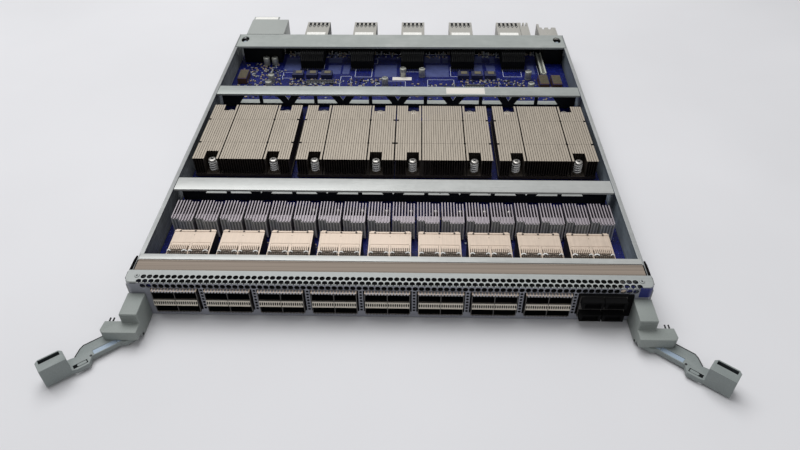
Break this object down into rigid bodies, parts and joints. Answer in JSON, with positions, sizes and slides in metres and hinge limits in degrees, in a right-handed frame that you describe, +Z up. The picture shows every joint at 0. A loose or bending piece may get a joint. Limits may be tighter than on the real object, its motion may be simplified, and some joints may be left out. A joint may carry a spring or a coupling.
{
  "type": "switch line card",
  "caption": "Network switch line card: a shallow sheet-metal tray with a board, pluggable module cages, heat sinks, backplane connectors and two ejector levers.",
  "frame": {"origin": "on the base plane, under the middle of the front panel's face", "axes": "+X to the right seen from the front, +Y from the front panel to the backplane end, +Z up from the base"},
  "size_m": [0.5318, 0.6019, 0.0399],
  "materials": {
    "galvanised_sheet": "satin",
    "panel_paint": "satin",
    "gasket_fabric": "matt",
    "tin_plate": "satin",
    "anodised_fin": "satin",
    "champagne_fin": "satin",
    "board_blue": "satin solder mask",
    "spring_steel": "polished",
    "brass_post": "satin",
    "black_plastic": "matt",
    "grey_plastic": "matt",
    "ejector_grey": "satin",
    "can_metal": "satin",
    "ivory_plastic": "matt"
  },
  "bodies": {
    "card": {"base_pan": "galvanised_sheet", "side_rail_left": "galvanised_sheet", "side_rail_right": "galvanised_sheet", "main_board": "board_blue", "board_standoffs": "brass_post", "capacitors": "can_metal", "ribbon_connector": "ivory_plastic", "front_panel": "panel_paint", "panel_screws": "spring_steel", "panel_gasket": "gasket_fabric", "front_crossbar": "galvanised_sheet", "heatsink_clips": "spring_steel", "dust_plugs": "black_plastic", "spring_screws": "spring_steel", "mid_crossbar": "galvanised_sheet", "rear_mid_crossbar": "galvanised_sheet", "rear_cover_bar": "galvanised_sheet", "connector_wafers": "black_plastic", "connector_shrouds": "grey_plastic", "guide_module": "grey_plastic", "power_connector": "grey_plastic", "ejector_housing_left": "ejector_grey", "ejector_housing_right": "ejector_grey", "lever_pivot_pins": "spring_steel", "port_cage_1": "tin_plate", "port_heatsink_1": "champagne_fin", "line_heatsink_1": "anodised_fin", "port_cage_2": "tin_plate", "port_heatsink_2": "champagne_fin", "line_heatsink_2": "anodised_fin", "port_cage_3": "tin_plate", "port_heatsink_3": "champagne_fin", "line_heatsink_3": "anodised_fin", "port_cage_4": "tin_plate", "port_heatsink_4": "champagne_fin", "line_heatsink_4": "anodised_fin", "port_cage_5": "tin_plate", "port_heatsink_5": "champagne_fin", "line_heatsink_5": "anodised_fin", "port_cage_6": "tin_plate", "port_heatsink_6": "champagne_fin", "line_heatsink_6": "anodised_fin", "port_cage_7": "tin_plate", "port_heatsink_7": "champagne_fin", "line_heatsink_7": "anodised_fin", "port_cage_8": "tin_plate", "port_heatsink_8": "champagne_fin", "line_heatsink_8": "anodised_fin", "port_cage_9": "tin_plate", "port_heatsink_9": "champagne_fin", "line_heatsink_9": "anodised_fin", "main_heatsink_1": "champagne_fin", "main_heatsink_2": "champagne_fin", "main_heatsink_3": "champagne_fin", "main_heatsink_4": "champagne_fin"},
    "lever_left": {"ejector_lever_left": "ejector_grey"},
    "lever_right": {"ejector_lever_right": "ejector_grey"},
    "latch_left": {"lever_latch_left": "ejector_grey"},
    "latch_right": {"lever_latch_right": "ejector_grey"}
  },
  "joints": [
    {"name": "lever_left_swing", "type": "hinge", "parent": "card", "child": "lever_left", "pos_m": [-0.211, -0.0305, 0.004], "axis": [0, 0, 1], "range_deg": [0, 141]},
    {"name": "lever_right_swing", "type": "hinge", "parent": "card", "child": "lever_right", "pos_m": [0.211, -0.0305, 0.004], "axis": [0, 0, -1], "range_deg": [0, 141]},
    {"name": "latch_left_slide", "type": "slide", "parent": "lever_left", "child": "latch_left", "axis": [-0.7771, -0.6293, 0], "range_m": [0, 0.0025], "stiffness_N_per_m": 60},
    {"name": "latch_right_slide", "type": "slide", "parent": "lever_right", "child": "latch_right", "axis": [0.7771, -0.6293, 0], "range_m": [0, 0.0025], "stiffness_N_per_m": 60}
  ]
}
